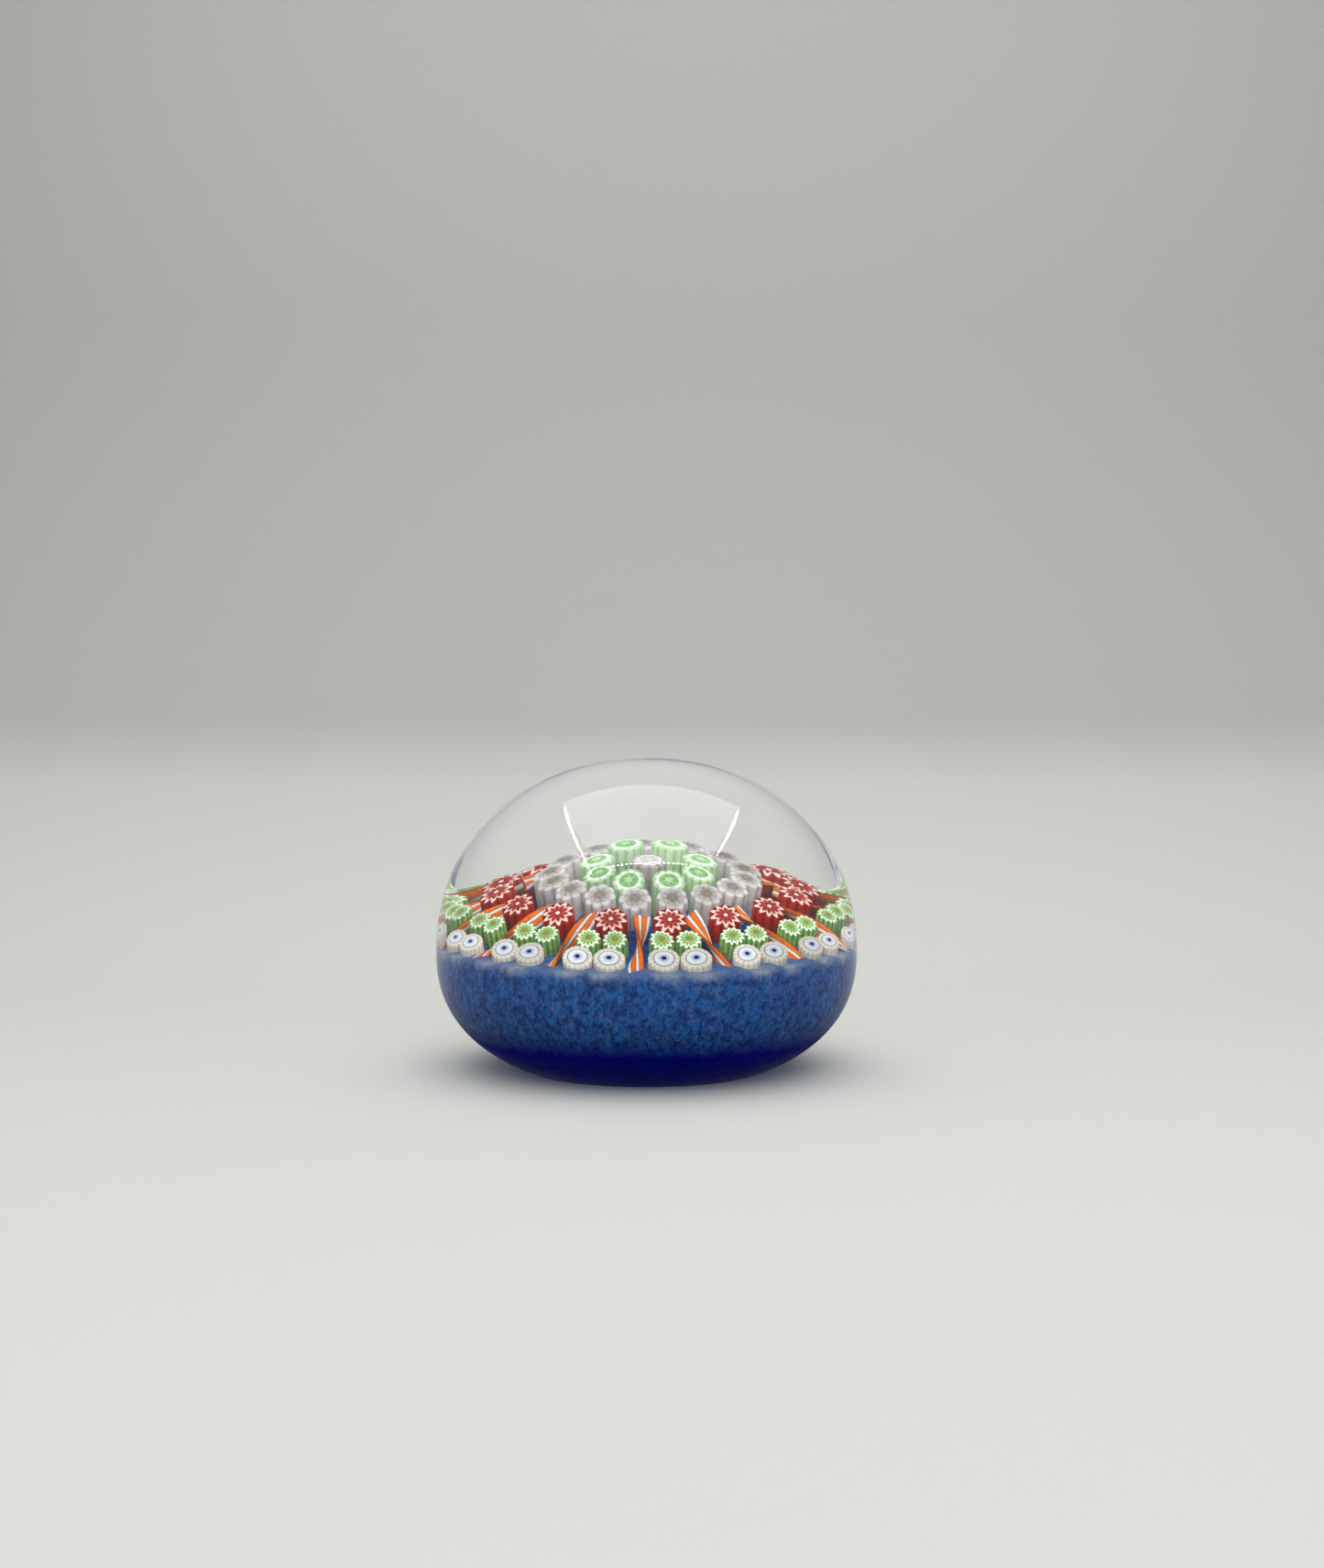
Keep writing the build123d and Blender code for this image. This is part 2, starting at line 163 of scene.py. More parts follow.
def ring_faces(first, second, count):
    """Quads between two rings of points that start at the given indices."""
    faces = []
    for k in range(count):
        j = (k + 1) % count
        faces.append((first + k, first + j, second + j, second + k))
    return faces


def revolve(profile, segments):
    """Closed surface of revolution; a profile point on the axis becomes a pole."""
    verts, faces, rows = [], [], []
    for radius, height in profile:
        rows.append((len(verts), radius > 0))
        if radius <= 0:
            verts.append((0, 0, height))
            continue
        for k in range(segments):
            angle = 2 * math.pi * k / segments
            verts.append((radius * math.cos(angle), radius * math.sin(angle), height))
    for (a, ring_a), (b, ring_b) in zip(rows, rows[1:]):
        if ring_a and ring_b:
            faces += ring_faces(a, b, segments)
        elif ring_b:
            faces += [(a, b + (k + 1) % segments, b + k) for k in range(segments)]
        elif ring_a:
            faces += [(a + k, a + (k + 1) % segments, b) for k in range(segments)]
    return verts, faces


# ---------------------------------------------------------------- outside of the weight

TOP = cad_box[1][2]
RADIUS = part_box("clear_casing")[1].x
EQUATOR = EQUATOR_SHARE * TOP
FOOT = FOOT_SHARE * RADIUS
BELLY_DEPTH = EQUATOR / (1 - (FOOT / RADIUS) ** BELLY_POWER) ** (1 / BELLY_POWER)


def belly_radius(height, inset=0.0):
    drop = max(EQUATOR - height, 0) / BELLY_DEPTH
    return RADIUS * (1 - drop ** BELLY_POWER) ** (1 / BELLY_POWER) - inset


def crown_point(turn):
    power = 2 / CROWN_POWER
    radius = RADIUS * max(math.cos(turn), 0) ** power
    return radius, EQUATOR + (TOP - EQUATOR) * math.sin(turn) ** power


# ---------------------------------------------------------------- materials

def rgb(red, green, blue):
    """Linear colour with alpha, from display values of 0 to 255."""
    values = [c / 255 for c in (red, green, blue)]
    linear = [c / 12.92 if c <= 0.04045 else ((c + 0.055) / 1.055) ** 2.4 for c in values]
    return (*linear, 1.0)


class Graph:
    """A material's node tree, with a short call for each kind of node it needs."""

    def __init__(self, name):
        self.material = bpy.data.materials.new(name)
        self.material.use_nodes = True
        self.tree = self.material.node_tree
        self.tree.nodes.clear()
        self.place = self.node("TexCoord").outputs["Object"]

    def node(self, kind, inputs=None, **settings):
        made = self.tree.nodes.new("ShaderNode" + kind)
        for key, value in settings.items():
            setattr(made, key, value)
        for key, value in (inputs or {}).items():
            if isinstance(value, bpy.types.NodeSocket):
                self.tree.links.new(value, made.inputs[key])
            else:
                made.inputs[key].default_value = value
        return made

    def noise(self, grain, detail=2.0, stretch=(1, 1, 1)):
        """Noise from 0 to 1 whose features are about grain metres across."""
        place = self.node("Mapping", {"Vector": self.place, "Scale": stretch}).outputs[0]
        return self.node("TexNoise", {"Vector": place, "Scale": 1 / grain, "Detail": detail}).outputs["Fac"]

    def cells(self, grain):
        place = {"Vector": self.place, "Scale": 1 / grain}
        return self.node("TexVoronoi", place).outputs["Color"]

    def value(self, name):
        return self.node("Attribute", attribute_name=name).outputs["Fac"]

    def fit(self, value, low, high, start=0.0, end=1.0):
        inputs = {"Value": value, 1: low, 2: high, 3: start, 4: end}
        return self.node("MapRange", inputs).outputs[0]

    def math(self, operation, first, second):
        return self.node("Math", {0: first, 1: second}, operation=operation).outputs[0]

    def mix(self, share, first, second, blend="MIX"):
        made = self.node("Mix", data_type="RGBA", blend_type=blend)
        for index, value in ((0, share), (6, first), (7, second)):
            if isinstance(value, bpy.types.NodeSocket):
                self.tree.links.new(value, made.inputs[index])
            else:
                made.inputs[index].default_value = value
        return made.outputs[2]

    def bump(self, height, distance, strength=1.0):
        inputs = {"Height": height, "Distance": distance, "Strength": strength}
        return self.node("Bump", inputs).outputs[0]

    def finish(self, shader):
        self.node("OutputMaterial", {"Surface": shader})
        return self.material

    def finish_translucent(self, shader, tint):
        """Finishes a material that lets light of the given tint through to what it would shade."""
        through = self.node("BsdfTransparent", {"Color": tint})
        shadow = self.node("LightPath").outputs["Is Shadow Ray"]
        return self.finish(self.node("MixShader", {0: shadow, 1: shader, 2: through.outputs[0]}).outputs[0])


def cane_material(name, light, dark, grain=0.5 * MM, soft=0.15):
    """Opal cane glass: darker in the valleys between ribs, drawn streaks, uneven tone, and painted shade
    towards each cane's foot.
    """
    graph = Graph(name)
    ribs = graph.fit(graph.value("lobe"), 0.0, 1.0)
    streaks = graph.fit(graph.noise(grain), 0.35, 0.65, -0.22, 0.22)
    share = graph.math("ADD", ribs, streaks)
    colour = graph.mix(graph.fit(share, 0.0, 1.0), dark, light)
    tone = graph.fit(graph.value("tone"), 0.0, 1.0, 0.84, 1.08)
    shade = graph.node("CombineColor", {0: tone, 1: tone, 2: tone}).outputs[0]
    colour = graph.mix(1.0, colour, shade, "MULTIPLY")
    # Painted shade: each cane darkens towards its foot, standing in for light falling off down its side
    foot = graph.fit(graph.value("depth"), 0.1, 0.8, 0.0, 0.35)
    colour = graph.mix(foot, colour, dark)
    bumps = graph.bump(graph.noise(grain), 0.05 * MM, 0.5)
    inputs = {"Base Color": colour, "Roughness": 0.6, "Specular IOR Level": 0.0, "Normal": bumps,
              "Subsurface Weight": soft, "Subsurface Scale": 0.8 * MM}
    return graph.finish(graph.node("BsdfPrincipled", inputs).outputs[0])


def clear_glass(name, tint, index):
    """Clear glass that lets the studio light through to what it covers."""
    graph = Graph(name)
    veil = graph.fit(graph.noise(6 * MM), 0.3, 0.7, 0.985, 1.0)
    shade = graph.node("CombineColor", {0: veil, 1: veil, 2: veil}).outputs[0]
    colour = graph.mix(1.0, tint, shade, "MULTIPLY")
    glass = graph.node("BsdfGlass", {"Color": colour, "Roughness": 0.0, "IOR": index})
    calm = graph.node("BsdfRefraction", {"Color": colour, "Roughness": 0.0, "IOR": index})
    height = graph.node("SeparateXYZ", {0: graph.place}).outputs["Z"]
    shine = graph.fit(height, 6 * MM, 20 * MM, 0.05, 1.0)
    glass = graph.node("MixShader", {0: shine, 1: calm.outputs[0], 2: glass.outputs[0]})
    return graph.finish_translucent(glass.outputs[0], colour)


# Light that the blue glass lets through, the heights between which painted shade turns the blue deep navy
# under the belly, and the strength of a faint painted blue glow there that stands in for light passing
# through the glass
BLUE_SHADE = (0.60, 0.68, 0.76, 1)
NAVY_SHADE_BELOW = 7.4 * MM
NAVY_SHADE_ABOVE = 10.8 * MM
BLUE_PAINTED_GLOW = 0.03


def blue_material():
    """Mottled blue glass: crushed grains in three blues, paler at the rim, and painted shade turning it deep
    navy at the foot, with a faint painted blue glow.
    """
    graph = Graph("mottled_blue_glass")
    coarse = graph.noise(0.9 * MM, 3.0, (1, 1, 0.6))
    fine = graph.noise(0.32 * MM, 2.0, (1, 1, 0.7))
    grains = graph.fit(graph.math("ADD", coarse, fine), 0.80, 1.20)
    colour = graph.mix(grains, rgb(0, 36, 94), rgb(24, 88, 158))
    speck = graph.node("SeparateColor", {0: graph.cells(0.7 * MM)}).outputs[0]
    colour = graph.mix(graph.fit(speck, 0.86, 0.94, 0, 0.6), colour, rgb(0, 26, 84))
    height = graph.node("SeparateXYZ", {0: graph.place}).outputs["Z"]
    ragged = graph.fit(graph.noise(1.1 * MM, 3.0), 0.3, 0.7, -0.35, 0.25)
    edge = graph.fit(graph.math("ADD", graph.value("edge"), ragged), 0.0, 1.0)
    colour = graph.mix(graph.math("MULTIPLY", edge, 0.40), colour, rgb(112, 134, 172))
    fuzz = graph.math("MULTIPLY", graph.math("POWER", edge, 1.6), graph.value("eye"))
    colour = graph.mix(graph.math("MULTIPLY", fuzz, 0.60), colour, rgb(168, 172, 172))
    # Painted shade: the blue turns deep navy low on the belly where it faces the floor, and a faint painted
    # blue emission glows there
    wander = graph.math("MULTIPLY", graph.noise(5 * MM), 2.5 * MM)
    deep = graph.fit(graph.math("ADD", height, wander), NAVY_SHADE_BELOW, NAVY_SHADE_ABOVE, 1.0, 0.0)
    colour = graph.mix(deep, colour, rgb(0, 2, 96))
    glow = graph.math("MULTIPLY", deep, BLUE_PAINTED_GLOW)
    bumps = graph.bump(fine, 0.1 * MM, 0.6)
    inputs = {"Base Color": colour, "Roughness": 0.7, "Specular IOR Level": 0.0, "Normal": bumps,
              "Emission Color": (0, 0, 1, 1), "Emission Strength": glow}
    return graph.finish_translucent(graph.node("BsdfPrincipled", inputs).outputs[0], BLUE_SHADE)


def gather_material():
    """Deep cobalt base glass, with faint swirls; its darkness is partly its own colour and partly painted
    shade at the foot, and it has a faint painted blue glow.
    """
    graph = Graph("deep_blue_glass")
    swirl = graph.fit(graph.noise(4 * MM, 3.0), 0.3, 0.7)
    # Partly painted shade: the base is coloured as dark as the shaded navy at the foot, and glows faintly in
    # painted blue for light passing through
    colour = graph.mix(swirl, rgb(0, 0, 56), rgb(0, 4, 88))
    inputs = {"Base Color": colour, "Roughness": 0.5, "Specular IOR Level": 0.0,
              "Emission Color": (0, 0, 1, 1), "Emission Strength": BLUE_PAINTED_GLOW}
    return graph.finish_translucent(graph.node("BsdfPrincipled", inputs).outputs[0], BLUE_SHADE)


# ---------------------------------------------------------------- clear casing and blue body

def hollow_profile(steps, floor=0.0):
    """Shallow polished hollow under the foot, from its edge to the axis."""
    shares = [1 - k / steps for k in range(steps + 1)]
    return [(HOLLOW_RADIUS * share, floor + HOLLOW_DEPTH * (1 - share ** 2)) for share in shares]


def build_dome():
    """Whole clear outside, from the apex over the equator to the flat foot with its hollow."""
    crown = [crown_point(math.pi / 2 * (1 - k / 96)) for k in range(96)]
    crown[0] = (0.0, TOP)
    belly = [EQUATOR * (1 - k / 80) for k in range(81)]
    profile = crown + [(belly_radius(height), height) for height in belly]
    profile.append((FOOT - FOOT_BEVEL, 0.0))
    profile += hollow_profile(8)
    verts, faces = revolve(profile, 256)
    return new_object("clear_dome", verts, faces, clear_glass("clear_crystal", (0.985, 0.99, 0.985, 1), 1.5))


def ground_radius(height):
    """Outside of the blue body: close to the skin at the foot, deep in the clear glass at the rim."""
    depth = SKIN + (WALL - SKIN) * (height / RIM_HEIGHT) ** 2
    return belly_radius(height, depth)


def bed_height(radius, rim):
    """Height of the blue bed, which falls from the middle to its rim."""
    share = radius / (RADIUS - WALL)
    return BED_CENTRE_HEIGHT + (rim - BED_CENTRE_HEIGHT) * share ** 2 * (3 - 2 * share)


WALL_ROWS = 20
BED_STEP = 0.35 * MM
SIDE_RISE = 1.1 * MM
EYE_DIP = 0.35 * MM
EYE_REACH = 0.0012
FROST_DEPTH = 1.5 * MM


def rim_line(segments):
    """Heights of the blue rim round the weight, and how near each place is to an eye cane (0 to 1)."""
    rims, nearness = [], []
    eyes = [rod_place(points)[0] for points in loose_parts("eye_pupils")]
    eye_angles = [math.atan2(eye.y, eye.x) for eye in eyes]
    for k in range(segments):
        angle = 2 * math.pi * k / segments
        point = Vector((math.cos(angle), math.sin(angle), 0))
        wave = (noise.noise(point * 9) * 0.35 + noise.noise(point * 38) * 0.20) * MM
        gap = min(math.sin((angle - eye) / 2) ** 2 for eye in eye_angles)
        nearness.append(math.exp(-gap / EYE_REACH))
        side = math.cos(angle) ** 2
        rims.append(RIM_HEIGHT + SIDE_RISE * side + wave - EYE_DIP * nearness[k])
    return rims, nearness


def build_ground():
    """Blue body with a wavy upper edge, which dips in front of the eye canes."""
    segments = 360
    rims, nearness = rim_line(segments)
    rows = []
    for k in range(WALL_ROWS):
        share = k / (WALL_ROWS - 1)
        heights = [SEAM_HEIGHT + (rim - SEAM_HEIGHT) * share for rim in rims]
        rows.append([(ground_radius(height), height) for height in heights])
    bed_radius = RADIUS - WALL
    for k in range(1, int(bed_radius / BED_STEP)):
        radius = bed_radius - k * BED_STEP
        rows.append([(radius, bed_height(radius, rim)) for rim in rims])
    verts, faces = [], []
    values = {"edge": [], "eye": []}
    for row in rows:
        for k, (radius, height) in enumerate(row):
            angle = 2 * math.pi * k / segments
            verts.append((radius * math.cos(angle), radius * math.sin(angle), height))
            values["edge"].append(max(0.0, 1 - abs(rims[k] - height) / FROST_DEPTH))
            values["eye"].append(nearness[k])
    for r in range(len(rows) - 1):
        faces += ring_faces(r * segments, (r + 1) * segments, segments)
    crown, foot = len(verts), len(verts) + 1
    verts += [(0, 0, BED_CENTRE_HEIGHT), (0, 0, SEAM_CENTRE_HEIGHT)]
    for attribute in values.values():
        attribute.extend((0.0, 0.0))
    last = (len(rows) - 1) * segments
    faces += [(last + k, last + (k + 1) % segments, crown) for k in range(segments)]
    faces += [((k + 1) % segments, k, foot) for k in range(segments)]
    return new_object("blue_bed", verts, faces, blue_material(), values)


def build_gather():
    """Deep blue base, just inside the ground foot."""
    low = 0.06 * MM
    heights = [low + (SEAM_HEIGHT - low) * k / 12 for k in range(13)]
    profile = [(0.0, SEAM_CENTRE_HEIGHT), (12 * MM, 5.0 * MM), (24 * MM, 4.6 * MM)]
    profile += [(belly_radius(height, SKIN), height) for height in reversed(heights)]
    profile += hollow_profile(6, low)
    verts, faces = revolve(profile, 192)
    return new_object("base_glass", verts, faces, gather_material())


# ---------------------------------------------------------------- canes

def circle(size):
    return lambda angle: size


def star(points, tip, valley):
    """Straight-sided star."""
    def outline(angle):
        share = abs((angle * points / (2 * math.pi)) % 1.0 * 2 - 1)
        return valley + (tip - valley) * share
    return outline


def lobes(count, crest, valley):
    """Round lobes that meet in sharp valleys."""
    def outline(angle):
        share = abs(math.cos(angle * count / 2)) ** 0.6
        return valley + (crest - valley) * share
    return outline


# How steeply the cane tops fall, and how the fall is shared between sideways and forward
TOP_SLANT = 0.30
SIDE_SHARE = 0.45
FRONT_SHARE = 0.4
TOP_DOME = 0.22 * MM


class Cane:
    """One cane: where it stands, how its section is warped, and how its top slants to the front."""

    def __init__(self, place, length, radius):
        self.place = place
        outward = Vector((place.translation.x, place.translation.y, 0)).normalized()
        fall = Vector((SIDE_SHARE * outward.x, min(outward.y, 0) - FRONT_SHARE, 0))
        self.slant = place.to_3x3().inverted() @ fall * TOP_SLANT
        self.length = length
        self.radius = radius
        self.tone = RANDOM.random()
        self.oval = RANDOM.uniform(-0.05, 0.05)
        self.bulge = RANDOM.uniform(0.0, 0.035)
        self.turn = RANDOM.uniform(0, 2 * math.pi)

    def point(self, angle, reach, drop):
        """World point of the section at an angle and a share of the radius, drop metres down."""
        swell = self.oval * math.cos(2 * (angle - self.turn)) + self.bulge * math.sin(3 * angle + self.turn)
        flare = 1 - 0.055 * drop / self.length
        across = self.radius * reach * min(1 + swell, 1.03) * flare
        x = across * math.cos(angle)
        y = across * math.sin(angle)
        fall = TOP_DOME * reach ** 2 + self.slant.x * x + self.slant.y * y
        return self.place @ Vector((x, y, -drop - fall * (1 - drop / self.length)))


class Pile:
    """Growing mesh of one layer of many canes."""

    def __init__(self, samples):
        self.samples = samples
        self.verts = []
        self.faces = []
        self.values = {"lobe": [], "depth": [], "tone": []}

    def ring(self, cane, outline, drop, shrink=1.0):
        start = len(self.verts)
        angles = [2 * math.pi * k / self.samples for k in range(self.samples)]
        reaches = [outline(angle) for angle in angles]
        low, high = min(reaches), max(reaches)
        for angle, reach in zip(angles, reaches):
            self.verts.append(cane.point(angle, reach * shrink, drop))
            self.values["lobe"].append((reach - low) / (high - low) if high - low > 1e-6 else 1.0)
            self.values["depth"].append(drop / cane.length)
            self.values["tone"].append(cane.tone)
        return start

    def pole(self, cane, drop):
        self.verts.append(cane.point(0, 0, drop))
        for key, value in (("lobe", 1.0), ("depth", drop / cane.length), ("tone", cane.tone)):
            self.values[key].append(value)
        return len(self.verts) - 1

    def fan(self, ring, pole, flip):
        for k in range(self.samples):
            j = (k + 1) % self.samples
            self.faces.append((ring + j, ring + k, pole) if flip else (ring + k, ring + j, pole))


def add_layer(pile, cane, outer, inner):
    """One layer of a cane: outer wall, top, and either the inner wall or a full core."""
    edge = 0.05 * MM
    drops = [cane.length * share for share in (1.0, 0.7, 0.45, 0.22)] + [edge]
    rings = [pile.ring(cane, outer, drop) for drop in drops]
    rings.append(pile.ring(cane, outer, 0.0, 0.985))
    if inner is None:
        rings.append(pile.ring(cane, outer, 0.0, 0.5))
    else:
        rings.append(pile.ring(cane, lambda angle: (outer(angle) + inner(angle)) / 2, 0.0))
        rings.append(pile.ring(cane, inner, 0.0))
        rings.append(pile.ring(cane, inner, cane.length))
    for first, second in zip(rings, rings[1:]):
        pile.faces += ring_faces(first, second, pile.samples)
    if inner is None:
        pile.fan(rings[-1], pile.pole(cane, 0.0), False)
        pile.fan(rings[0], pile.pole(cane, cane.length), True)
    else:
        pile.faces += ring_faces(rings[-1], rings[0], pile.samples)


def build_canes(core, jacket, samples, layers):
    """All canes of one kind. Their places come from the core node, their width from the jacket."""
    radius = rod_place(loose_parts(jacket)[0])[3]
    canes = []
    for points in loose_parts(core):
        top, axis, length, reach = rod_place(points)
        place = place_matrix(top, axis, RANDOM.uniform(0, 2 * math.pi))
        canes.append(Cane(place, length, radius))
    outlines = [layer[2] for layer in layers] + [None]
    for (name, node, outer, slot, material), inner in zip(layers, outlines[1:]):
        pile = Pile(samples)
        for cane in canes:
            add_layer(pile, cane, outer, inner)
        obj = new_object(name, pile.verts, pile.faces, material, pile.values)
        piece(obj, slot, node)


# ---------------------------------------------------------------- twisted rods

RIBBON_TURN = math.radians(215)
RIBBON_EDGES = [share * MM for share in (-1.06, -0.66, 0.04, 0.44, 1.06)]
RIBBON_THICKNESS = 0.48 * MM


def stripe_section(stripe):
    """Closed section of one ribbon stripe, rounded at the ribbon's two edges."""
    left, right = RIBBON_EDGES[stripe:stripe + 2]
    half = RIBBON_THICKNESS / 2
    points = []
    for side in (1, -1):
        for k in range(7):
            share = k / 6 if side > 0 else 1 - k / 6
            across = left + share * (right - left)
            edge = abs(across) / RIBBON_EDGES[-1]
            thick = half * math.sqrt(max(1 - edge ** 4, 0.02))
            points.append((across, side * thick, 1 - abs(2 * share - 1) ** 5))
    return points


def build_ribbons(name, stripes, slot, node, material):
    """The same stripes of every rod's ribbon, turning from end to end."""
    verts, faces = [], []
    values = {"lobe": [], "tone": [], "depth": []}
    rows = 56
    for index, points in enumerate(loose_parts("twist_sleeves")):
        top, axis, length, reach = rod_place(points)
        place = place_matrix(top, axis, 0)
        offset = math.radians(28) * math.sin(2.1 * index)
        for stripe in stripes:
            section = stripe_section(stripe)
            count = len(section)
            start = len(verts)
            for row in range(rows + 1):
                share = row / rows
                turn = math.pi / 2 + RIBBON_TURN * (share - 0.5) + offset
                spin = Matrix.Rotation(turn, 4, "Z")
                for x, y, body in section:
                    verts.append(place @ spin @ Vector((x, y, -share * length)))
                    values["lobe"].append(body)
                    values["tone"].append(index % 5 / 4)
                    values["depth"].append(0.0)
            for row in range(rows):
                faces += ring_faces(start + row * count, start + (row + 1) * count, count)
            faces.append(tuple(start + k for k in reversed(range(count))))
            faces.append(tuple(start + rows * count + k for k in range(count)))
    piece(new_object(name, verts, faces, material, values), slot, node)


def build_sleeves(material):
    """Clear rods round the ribbons, softly rounded at their ends."""
    verts, faces = [], []
    count = 40
    for points in loose_parts("twist_sleeves"):
        top, axis, length, reach = rod_place(points)
        place = place_matrix(top, axis, 0)
        start = len(verts)
        rows = [(0.80, 0.0), (0.95, 0.02), (1.0, 0.06)]
        rows += [(1.0, 0.06 + 0.88 * k / 12) for k in range(1, 13)]
        rows += [(0.95, 0.98), (0.80, 1.0)]
        for share, along in rows:
            for k in range(count):
                angle = 2 * math.pi * k / count
                across = reach * share
                point = Vector((across * math.cos(angle), across * math.sin(angle), -along * length))
                verts.append(place @ point)
        for row in range(len(rows) - 1):
            faces += ring_faces(start + row * count, start + (row + 1) * count, count)
        faces.append(tuple(start + k for k in reversed(range(count))))
        last = start + (len(rows) - 1) * count
        faces.append(tuple(last + k for k in range(count)))
    piece(new_object("twist_rods_clear", verts, faces, material), "clear_glass", "twist_sleeves")


# ---------------------------------------------------------------- small bits

def lump(verts, faces, centre, radii, turn):
    """Adds one closed, uneven pebble: half-axes radii, turned by the matrix turn."""
    around, rows = 14, 8
    start = len(verts)
    seed = Vector((RANDOM.random(), RANDOM.random(), RANDOM.random())) * 9

    def point(theta, phi):
        way = Vector((math.sin(theta) * math.cos(phi), math.sin(theta) * math.sin(phi), math.cos(theta)))
        swell = 1 + 0.5 * noise.noise(way * 1.4 + seed)
        return centre + turn @ Vector([way[k] * radii[k] * swell for k in range(3)])

    verts.append(point(0, 0))
    for row in range(1, rows):
        verts += [point(math.pi * row / rows, 2 * math.pi * k / around) for k in range(around)]
    verts.append(point(math.pi, 0))
    last = len(verts) - 1
    for k in range(around):
        faces.append((start, start + 1 + k, start + 1 + (k + 1) % around))
        faces.append((last, last - around + (k + 1) % around, last - around + k))
    for row in range(rows - 2):
        faces += ring_faces(start + 1 + row * around, start + 1 + (row + 1) * around, around)


def lumps_object(name, verts, faces, material):
    count = len(verts)
    values = {"lobe": [RANDOM.random() for _ in range(count)], "tone": [0.5] * count, "depth": [0.0] * count}
    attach(new_object(name, verts, faces, material, values), "root")


def build_rod_ends(material):
    """Amber cut ends of the ribbons, which show at the edge of the bed."""
    verts, faces = [], []
    for points in loose_parts("twist_sleeves"):
        top, axis, length, reach = rod_place(points)
        frame_turn = place_matrix(top, axis, 0).to_3x3()
        low = top - axis * (length - 0.25 * MM)
        for side in (-1, 1):
            across = frame_turn @ Vector((side * RANDOM.uniform(0.35, 0.6) * MM, 0.25 * MM, 0))
            radii = [RANDOM.uniform(0.22, 0.38) * MM for _ in range(3)]
            lump(verts, faces, low + across, radii, frame_turn)
    lumps_object("rod_end_shards", verts, faces, material)


# ---------------------------------------------------------------- the object

cream = cane_material("cream_glass", rgb(218, 212, 200), rgb(184, 176, 162))
lilac = cane_material("lilac_grey_glass", rgb(146, 142, 162), rgb(112, 108, 130))
white = cane_material("white_glass", rgb(218, 222, 224), rgb(184, 190, 196))
pale_blue = cane_material("pale_blue_glass", rgb(180, 186, 216), rgb(140, 148, 190))
navy = cane_material("navy_glass", rgb(20, 30, 92), rgb(8, 14, 60), soft=0.0)
light_green = cane_material("light_green_glass", rgb(156, 198, 116), rgb(76, 128, 42))
pale_star = cane_material("pale_star_glass", rgb(240, 248, 236), rgb(206, 230, 190))
green = cane_material("green_glass", rgb(118, 158, 74), rgb(176, 204, 140), soft=0.0)
olive = cane_material("olive_glass", rgb(150, 136, 62), rgb(96, 88, 36))
red = cane_material("red_glass", rgb(172, 26, 12), rgb(88, 4, 2), soft=0.3)
pink = cane_material("pink_glass", rgb(246, 218, 210), rgb(222, 160, 150))
dark_red = cane_material("dark_red_glass", rgb(128, 10, 12), rgb(178, 74, 68), soft=0.0)
lavender = cane_material("lavender_glass", rgb(198, 194, 194), rgb(154, 147, 152), soft=0.35)
pale_lavender = cane_material("pale_lavender_glass", rgb(176, 172, 166), rgb(130, 124, 122))
slate = cane_material("slate_glass", rgb(138, 134, 120), rgb(106, 102, 92))
pale_green = cane_material("pale_green_glass", rgb(178, 208, 168), rgb(132, 172, 114), soft=0.3)
mid_green = cane_material("mid_green_glass", rgb(132, 182, 118), rgb(88, 142, 72))
bright_white = cane_material("bright_white_glass", rgb(232, 246, 232), rgb(180, 210, 176))
orange = cane_material("orange_glass", rgb(232, 112, 22), rgb(132, 46, 6), soft=0.0)
ribbon_white = cane_material("ribbon_white_glass", rgb(238, 232, 230), rgb(176, 160, 158), soft=0.0)

piece(build_dome(), "clear_glass", "clear_casing")
piece(build_ground(), "blue_glass", "blue_ground")
piece(build_gather(), "deep_blue_glass", "base_gather")

build_canes("eye_pupils", "eye_jackets", 84, [
    ("eye_cane_jackets", "eye_jackets", lobes(16, 1.0, 0.975), "cream_glass", cream),
    ("eye_cane_rings", "eye_rings", circle(0.70), "lilac_grey_glass", lilac),
    ("eye_cane_fields", "eye_fields", circle(0.62), "white_glass", white),
    ("eye_cane_halos", "eye_halos", circle(0.32), "pale_blue_glass", pale_blue),
    ("eye_cane_pupils", "eye_pupils", circle(0.17), "navy_glass", navy),
])
build_canes("green_pips", "green_jackets", 96, [
    ("green_cane_jackets", "green_jackets", star(12, 1.0, 0.82), "light_green_glass", light_green),
    ("green_cane_stars", "green_stars", star(12, 0.985, 0.73), "pale_star_glass", pale_star),
    ("green_cane_hearts", "green_hearts", star(12, 0.72, 0.50), "green_glass", green),
    ("green_cane_pips", "green_pips", circle(0.20), "olive_glass", olive),
])
build_canes("red_pips", "red_jackets", 100, [
    ("red_cane_jackets", "red_jackets", lobes(10, 1.0, 0.92), "red_glass", red),
    ("red_cane_stars", "red_stars", star(10, 1.0, 0.64), "pink_glass", pink),
    ("red_cane_hearts", "red_hearts", star(10, 0.72, 0.46), "dark_red_glass", dark_red),
    ("red_cane_pips", "red_pips", circle(0.14), "pink_glass", pink),
])
build_canes("lavender_hearts", "lavender_jackets", 96, [
    ("lavender_cane_jackets", "lavender_jackets", lobes(8, 1.0, 0.84), "lavender_glass", lavender),
    ("lavender_cane_stars", "lavender_stars", lobes(8, 0.74, 0.52), "pale_lavender_glass", pale_lavender),
    ("lavender_cane_hearts", "lavender_hearts", star(8, 0.44, 0.27), "slate_glass", slate),
])
